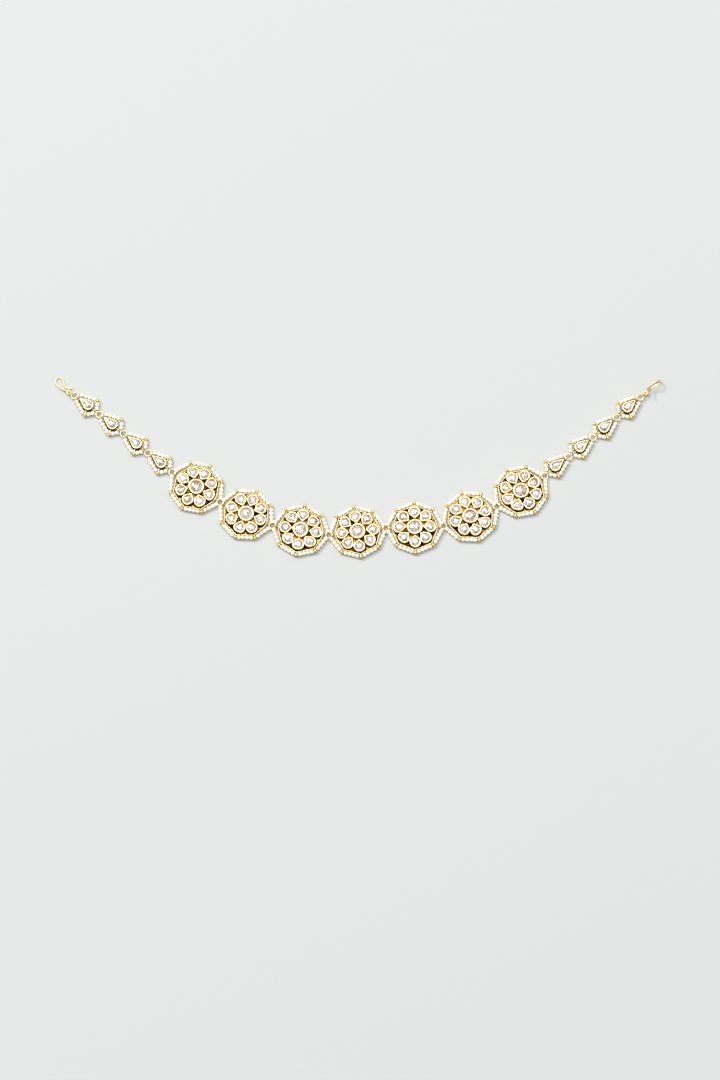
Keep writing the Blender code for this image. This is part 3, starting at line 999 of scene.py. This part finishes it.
def medallion_route(medallion, string):
    """Stops of the string round a medallion: its corner balls and the pearls beside its eyes."""
    # The last pearl beside an eye lies where its run from the nearest ball ends
    ball = medallion.corner * math.cos(math.pi / 4)
    run = string.ball + (string.beside_eye - 0.5) * 2 * string.pearl
    across = 2 * string.pearl
    along = ball + math.sqrt(run**2 - (ball - across) ** 2)
    half = [(along, across, False)]
    for index in range(1, medallion.petals // 2):
        turn = TAU * index / medallion.petals
        half.append((medallion.corner * math.cos(turn), medallion.corner * math.sin(turn), True))
    half.append((-along, across, False))
    return [half, [(-x, -y, ball) for x, y, ball in half]]


def drop_route(drop, string):
    """Stops of the string round a drop, one run for each side."""
    half = drop.span / 2
    side = [
        (drop.string_tip_along - half, drop.string_tip_across, False),
        (drop.ball_along - half, drop.ball_across, True),
        (drop.string_wide_along - half, drop.string_wide_across, False),
    ]
    return [side, [(x, -y, ball) for x, y, ball in side]]


def string_beads(pearls, balls, rng, runs, string, tone):
    """Seed pearls packed along each run, with a gold ball at each stop that has one."""
    height = string.pearl + string.lift
    for stops in runs:
        for (x0, y0, from_ball), (x1, y1, to_ball) in zip(stops, stops[1:]):
            start, end = Vector((x0, y0)), Vector((x1, y1))
            if not from_ball:
                start, end, to_ball = end, start, False
            way = (end - start).normalized()
            room = (end - start).length - string.ball - (string.ball if to_ball else 0)
            count = int((room + string.pearl * PEARL_SQUEEZE) / (2 * string.pearl))
            pitch = room / count if to_ball else 2 * string.pearl
            for index in range(count):
                spot = start + way * (string.ball + pitch * (index + 0.5))
                shape = [rng.uniform(PEARL_SLIM, most) for most in (1.0, 1.0, PEARL_LONG)]
                rest = height - string.pearl * (1 - min(shape[:2])) * 0.5
                value = rng.random()
                look = (string.pearl, PEARL_SIDES, shape, PEARL_FULLNESS)
                for vert in add_round(pearls, (*spot, rest), way, *look):
                    vert[tone] = value
        for x, y, ball in stops:
            if ball:
                out = Vector((x, y)).normalized()
                add_round(balls, (x, y, height), out, string.ball, BALL_SIDES)


def thread_mesh(runs, dip, string, closed):
    """The thread through all the beads, and bare under the chain stems."""
    height = string.pearl + string.lift
    low = string.lift + 0.3 * MM
    bm = bmesh.new()
    points = []
    for index, stops in enumerate(runs):
        side = 1 if stops[0][1] > 0 else -1
        run = [(x, y, height) for x, y, _ in stops]
        if closed:
            sign = 1 if stops[0][0] > 0 else -1
            run.insert(0, (sign * dip, side * string.thread_spread, low))
            run.append((-sign * dip, side * string.thread_spread, low))
        elif index:
            run = [(dip, -string.thread_spread, low), *reversed(run)]
        else:
            run.append((dip, string.thread_spread, low))
        points += run
    add_wire(bm, points, [string.thread] * len(points), smooth=False, closed=closed, sides=2)
    return bm


def add_strings(name, runs, dip, string, closed):
    """One motif's pearls, balls and thread."""
    node = f"{name}_pearls"
    place = chain_frame(f"{name}_setting")
    pearls, balls = bmesh.new(), bmesh.new()
    tone = pearls.verts.layers.float.new("tone")
    string_beads(pearls, balls, random.Random(f"pearls of {name}"), runs, string, tone)
    add_piece(f"{name}_seed_pearls", pearls, seed_pearl_nacre, node, place)
    add_piece(f"{name}_balls", balls, gold_plated_ball, node, place)
    bm = thread_mesh(runs, dip, string, closed)
    add_piece(f"{name}_thread", bm, gilt_thread, node, place)


class MATHAPATTI_OT_strings(bpy.types.Operator):
    """String seed pearls and gold balls round every medallion and drop"""

    bl_idname = "matha_patti.strings"
    bl_label = "Pearl strings"

    def execute(self, context):
        settings = context.scene.matha_patti
        string, wire, sizes = settings.string, settings.wire, settings.bezel
        medallion, drop = settings.medallion, settings.drop
        eye_side = medallion.eye_reach - wire.eye - wire.wire
        dip = (medallion.petal_reach + sizes.flare + eye_side) / 2
        for number in range(1, FLOWERS + 1):
            add_strings(f"flower_{number}", medallion_route(medallion, string), dip, string, True)
        foot = drop.start + drop.length + drop.base_reach
        dip = (foot + drop.span - wire.eye - wire.wire) / 2 - drop.span / 2
        for number in range(1, DROPS + 1):
            add_strings(f"drop_{number}", drop_route(drop, string), dip, string, False)
        return {"FINISHED"}


# Rings and hooks


class MATHAPATTI_OT_rings(bpy.types.Operator):
    """Bend the jump rings"""

    bl_idname = "matha_patti.rings"
    bl_label = "Jump rings"

    def execute(self, context):
        wire = context.scene.matha_patti.wire
        for number in range(1, RINGS + 1):
            node = f"ring_{number:02d}"
            centre = node_centre(node)
            rng = random.Random(node)
            turn = Matrix.Rotation(rng.uniform(0, TAU), 4, "Z")
            mean = wire.ring
            radius = wire.ring_wire
            low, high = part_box(node)
            if (high - low).z > wire.end_ring:
                # The ring beside a hook stands upright, in line with the hook
                across = (high - low).xy
                heading = math.atan2(across.y, math.copysign(across.x, centre.x))
                turn = Matrix.Rotation(heading, 4, "Z") @ UPRIGHT @ turn
                mean, radius = wire.end_ring, wire.wire
            bm = bmesh.new()
            add_torus(bm, Matrix.Translation(centre) @ turn, mean, radius, wire.ring_cut)
            add_piece(f"{node}_wire", bm, gold_plated_wire, node)
        return {"FINISHED"}


class MATHAPATTI_OT_hooks(bpy.types.Operator):
    """Bend the hook at each end"""

    bl_idname = "matha_patti.hooks"
    bl_label = "Hooks"

    def execute(self, context):
        wire = context.scene.matha_patti.wire
        chain = wire.chain
        for side, flat, upright, heading, turn in HOOKS:
            flat_centre, ring = node_centre(flat), node_centre(upright)
            out = (ring - flat_centre).xy.normalized()
            hole = wire.end_ring - wire.wire - wire.snug
            reach = math.sqrt((hole - wire.hook_wire) ** 2 - (ring.z - chain) ** 2) + wire.hook_eye
            eye = ring.xy + out * reach
            heading = Matrix.Rotation(math.radians(heading), 4, "Z")
            place = Matrix.Translation((*eye, 0)) @ heading
            tilt = math.radians(turn)
            rest = wire.hook_wire + wire.hook_lift
            lowest = HOOK_ROUTE[HOOK_LOWEST][1]
            points = []
            for index, (along, across) in enumerate(HOOK_ROUTE):
                height = rest + (across - lowest) * wire.hook_width * math.sin(tilt)
                if index < HOOK_LOWEST:
                    height = chain + (rest - chain) * index / HOOK_LOWEST
                side_way = -across * wire.hook_width * math.cos(tilt)
                points.append((wire.hook_eye + along * wire.hook_length, side_way, height))
            bm = bmesh.new()
            add_wire(bm, points, [wire.hook_wire] * len(points), smooth=True, sides=5)
            way = Vector(points[-1]) - Vector(points[-2])
            add_round(bm, points[-1], way.xy, wire.hook_wire, PEARL_SIDES)
            height = Matrix.Translation((0, 0, chain))
            add_torus(bm, height, wire.hook_eye, wire.hook_wire, steps=32, sides=14)
            node = f"hook_{side}"
            add_piece(f"{node}_wire", bm, gold_plated_wire, node, place)
        return {"FINISHED"}


# Stage


def studio_world():
    """White room, bright overhead and darker towards the floor, so that metal has contrast."""
    world = bpy.data.worlds.new("studio")
    world.use_nodes = True
    tree = world.node_tree
    tree.nodes.clear()
    place = add_node(tree, "ShaderNodeTexCoord")
    parts = add_node(tree, "ShaderNodeSeparateXYZ", {"Vector": place.outputs["Generated"]})
    ramp = {"Value": parts.outputs["Z"], "To Min": 0.5, "To Max": 1.0}
    light = add_node(tree, "ShaderNodeMapRange", ramp, interpolation_type="SMOOTHSTEP")
    sky = add_node(tree, "ShaderNodeBackground", {"Strength": light.outputs["Result"]})
    add_node(tree, "ShaderNodeOutputWorld", {"Surface": sky.outputs["Background"]})
    return world


class MATHAPATTI_OT_stage(bpy.types.Operator):
    """Add the floor, the soft lights and the camera above the jewel"""

    bl_idname = "matha_patti.stage"
    bl_label = "Stage"

    def execute(self, context):
        scene = context.scene
        bm = bmesh.new()
        bmesh.ops.create_grid(bm, x_segments=1, y_segments=1, size=FLOOR_HALF)
        floor = mesh_object("floor", bm, matt_board)

        for name, place, wide, power in LAMPS:
            lamp = bpy.data.lights.new(name, "AREA")
            lamp.shape = "DISK"
            lamp.size = wide
            lamp.energy = power
            light = new_object(name, lamp)
            light.location = place
            light.rotation_euler = (-Vector(place)).to_track_quat("-Z", "Y").to_euler()

        scene.world = studio_world()
        scene.view_settings.view_transform = "Standard"

        data = bpy.data.cameras.new("camera")
        data.lens = CAMERA_LENS
        data.sensor_fit = "VERTICAL"
        data.sensor_height = CAMERA_SENSOR
        camera = new_object("camera", data)
        away = Vector((0, -math.sin(CAMERA_TILT), math.cos(CAMERA_TILT)))
        distance = VIEW_HEIGHT * CAMERA_LENS / CAMERA_SENSOR
        camera.location = Vector(VIEW_AIM) + away * distance
        camera.rotation_euler = (CAMERA_TILT, 0, 0)
        scene.camera = camera
        return {"FINISHED"}


class MATHAPATTI_PT_panel(bpy.types.Panel):
    """Buttons for every group of pieces"""

    bl_label = "Matha Patti"
    bl_idname = "MATHAPATTI_PT_panel"
    bl_space_type = "VIEW_3D"
    bl_region_type = "UI"
    bl_category = "Matha Patti"

    def draw(self, context):
        for operator in OPERATORS:
            self.layout.operator(operator.bl_idname)
        settings = context.scene.matha_patti
        for group in ("medallion", "drop", "bezel", "string", "wire", "finish"):
            box = self.layout.box()
            box.label(text=group.capitalize())
            values = getattr(settings, group)
            for name in values.__annotations__:
                box.prop(values, name)


OPERATORS = (
    MATHAPATTI_OT_medallions,
    MATHAPATTI_OT_drops,
    MATHAPATTI_OT_strings,
    MATHAPATTI_OT_rings,
    MATHAPATTI_OT_hooks,
    MATHAPATTI_OT_stage,
)
GROUPS = (
    *(MedallionSizes, DropSizes, BezelSizes, StringSizes, WireSizes, Finishes),
    MathaPattiSettings,
)
CLASSES = (*GROUPS, *OPERATORS, MATHAPATTI_PT_panel)


def register():
    for cls in CLASSES:
        bpy.utils.register_class(cls)
    bpy.types.Scene.matha_patti = PointerProperty(type=MathaPattiSettings)


def unregister():
    del bpy.types.Scene.matha_patti
    for cls in reversed(CLASSES):
        bpy.utils.unregister_class(cls)


def main():
    register()
    bpy.ops.matha_patti.medallions()
    bpy.ops.matha_patti.drops()
    bpy.ops.matha_patti.strings()
    bpy.ops.matha_patti.rings()
    bpy.ops.matha_patti.hooks()
    bpy.ops.matha_patti.stage()


if __name__ == "__main__":
    main()
